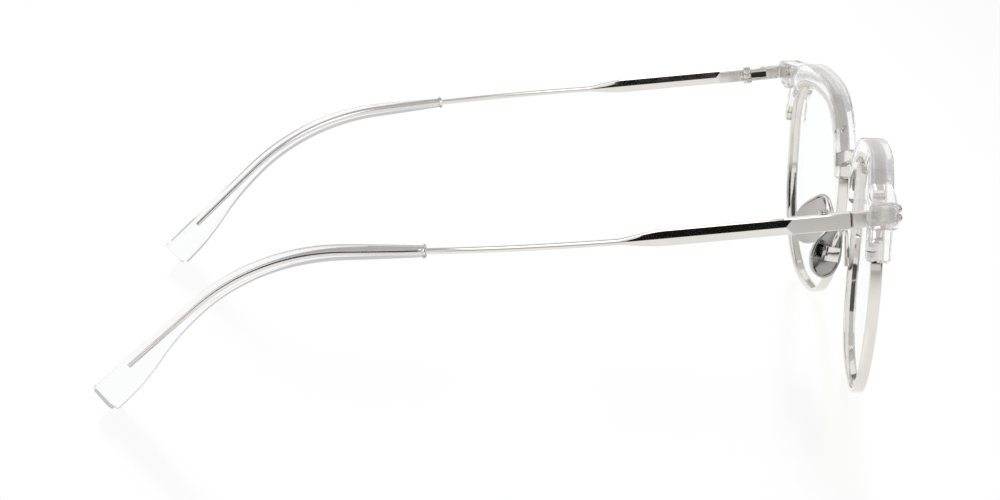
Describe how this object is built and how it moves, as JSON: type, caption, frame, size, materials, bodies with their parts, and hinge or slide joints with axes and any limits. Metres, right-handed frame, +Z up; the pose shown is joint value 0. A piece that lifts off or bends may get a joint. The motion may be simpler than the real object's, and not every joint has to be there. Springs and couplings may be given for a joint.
{
  "type": "browline glasses",
  "caption": "Browline spectacles with clear acetate brows over metal eyewires, slim metal temples with clear ear tips that fold on screwed hinges, and rocking nose pads.",
  "frame": {"origin": "on the table, under the middle of the whole object with its temples open", "axes": "+X to the wearer's left, -Y the way the wearer looks, +Z up"},
  "size_m": [0.133, 0.1536, 0.049],
  "materials": {
    "polished_metal": "polished",
    "satin_metal": "satin",
    "screw_metal": "turned",
    "clear_acetate": "polished, clear",
    "lens": "polished, coated"
  },
  "bodies": {
    "front": {"bridge": "polished_metal", "rim_left": "polished_metal", "rim_right": "polished_metal", "lens_left": "lens", "lens_right": "lens", "brow_left": "clear_acetate", "brow_right": "clear_acetate", "rim_lock_upper_left": "polished_metal", "rim_lock_upper_right": "polished_metal", "rim_lock_lower_left": "polished_metal", "rim_lock_lower_right": "polished_metal", "rim_lock_screws": "screw_metal", "brow_screws": "screw_metal", "end_piece_left": "polished_metal", "end_piece_right": "polished_metal", "front_rivets": "screw_metal", "hinge_front_leaf_left": "polished_metal", "hinge_front_leaf_right": "polished_metal", "hinge_screws": "screw_metal", "pad_arm_left": "polished_metal", "pad_arm_right": "polished_metal", "pad_box_left": "polished_metal", "pad_box_right": "polished_metal", "pad_screws": "screw_metal"},
    "temple_body_left": {"temple_left": "polished_metal", "temple_tip_left": "clear_acetate", "hinge_temple_leaf_left": "polished_metal"},
    "temple_body_right": {"temple_right": "polished_metal", "temple_tip_right": "clear_acetate", "hinge_temple_leaf_right": "polished_metal"},
    "pad_body_left": {"nose_pad_left": "satin_metal"},
    "pad_body_right": {"nose_pad_right": "satin_metal"}
  },
  "joints": [
    {"name": "temple_left_fold", "type": "hinge", "parent": "front", "child": "temple_body_left", "pos_m": [0.06305, -0.05912, 0.04208], "axis": [0, 0.1016, 0.9948], "range_deg": [0, 86]},
    {"name": "temple_right_fold", "type": "hinge", "parent": "front", "child": "temple_body_right", "pos_m": [-0.06305, -0.05912, 0.04208], "axis": [0, -0.1016, -0.9948], "range_deg": [0, 78]},
    {"name": "nose_pad_left_rock", "type": "hinge", "parent": "front", "child": "pad_body_left", "pos_m": [0.01408, -0.06854, 0.02129], "axis": [0.2842, 0.9295, 0.2351], "range_deg": [-6, 4]},
    {"name": "nose_pad_right_rock", "type": "hinge", "parent": "front", "child": "pad_body_right", "pos_m": [-0.01408, -0.06854, 0.02129], "axis": [0.2842, -0.9295, -0.2351], "range_deg": [-6, 4]}
  ]
}
